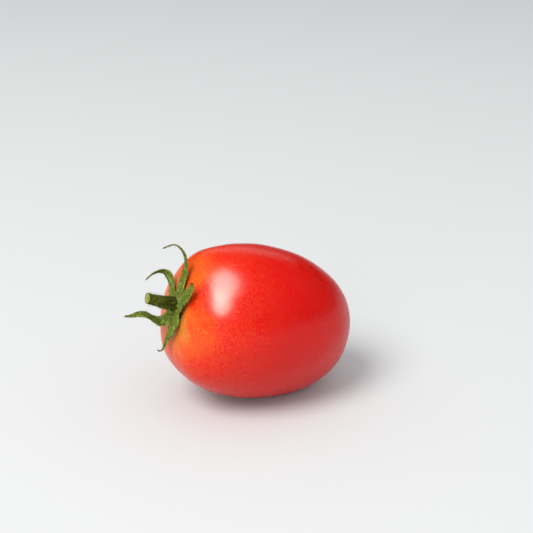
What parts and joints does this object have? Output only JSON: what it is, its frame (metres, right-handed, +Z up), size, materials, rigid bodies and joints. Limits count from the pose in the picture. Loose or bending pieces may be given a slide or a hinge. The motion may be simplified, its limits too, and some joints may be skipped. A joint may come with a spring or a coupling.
{
  "type": "tomato",
  "caption": "Plum tomato as picked, lying on its side on a small flat spot, with a short cut stem and a calyx of curled sepals.",
  "frame": {"origin": "middle of the flat spot that the tomato rests on", "axes": "+Z up; -X towards the stem end, which is raised 16 degrees; +Y to the far side as seen from the front"},
  "size_m": [0.0862, 0.0576, 0.064],
  "materials": {
    "tomato_skin": "ripe tomato skin, smooth and waxy, red with an orange shoulder",
    "stem_green": "fresh green stem, matt, with fine hairs",
    "calyx_green": "leafy green, matt, veined and softly hairy"
  },
  "bodies": {
    "root": {"fruit": "tomato_skin", "stem": "stem_green", "sepal_top": "calyx_green", "sepal_front": "calyx_green", "sepal_hanging": "calyx_green", "sepal_forward": "calyx_green", "sepal_back": "calyx_green"}
  },
  "joints": []
}
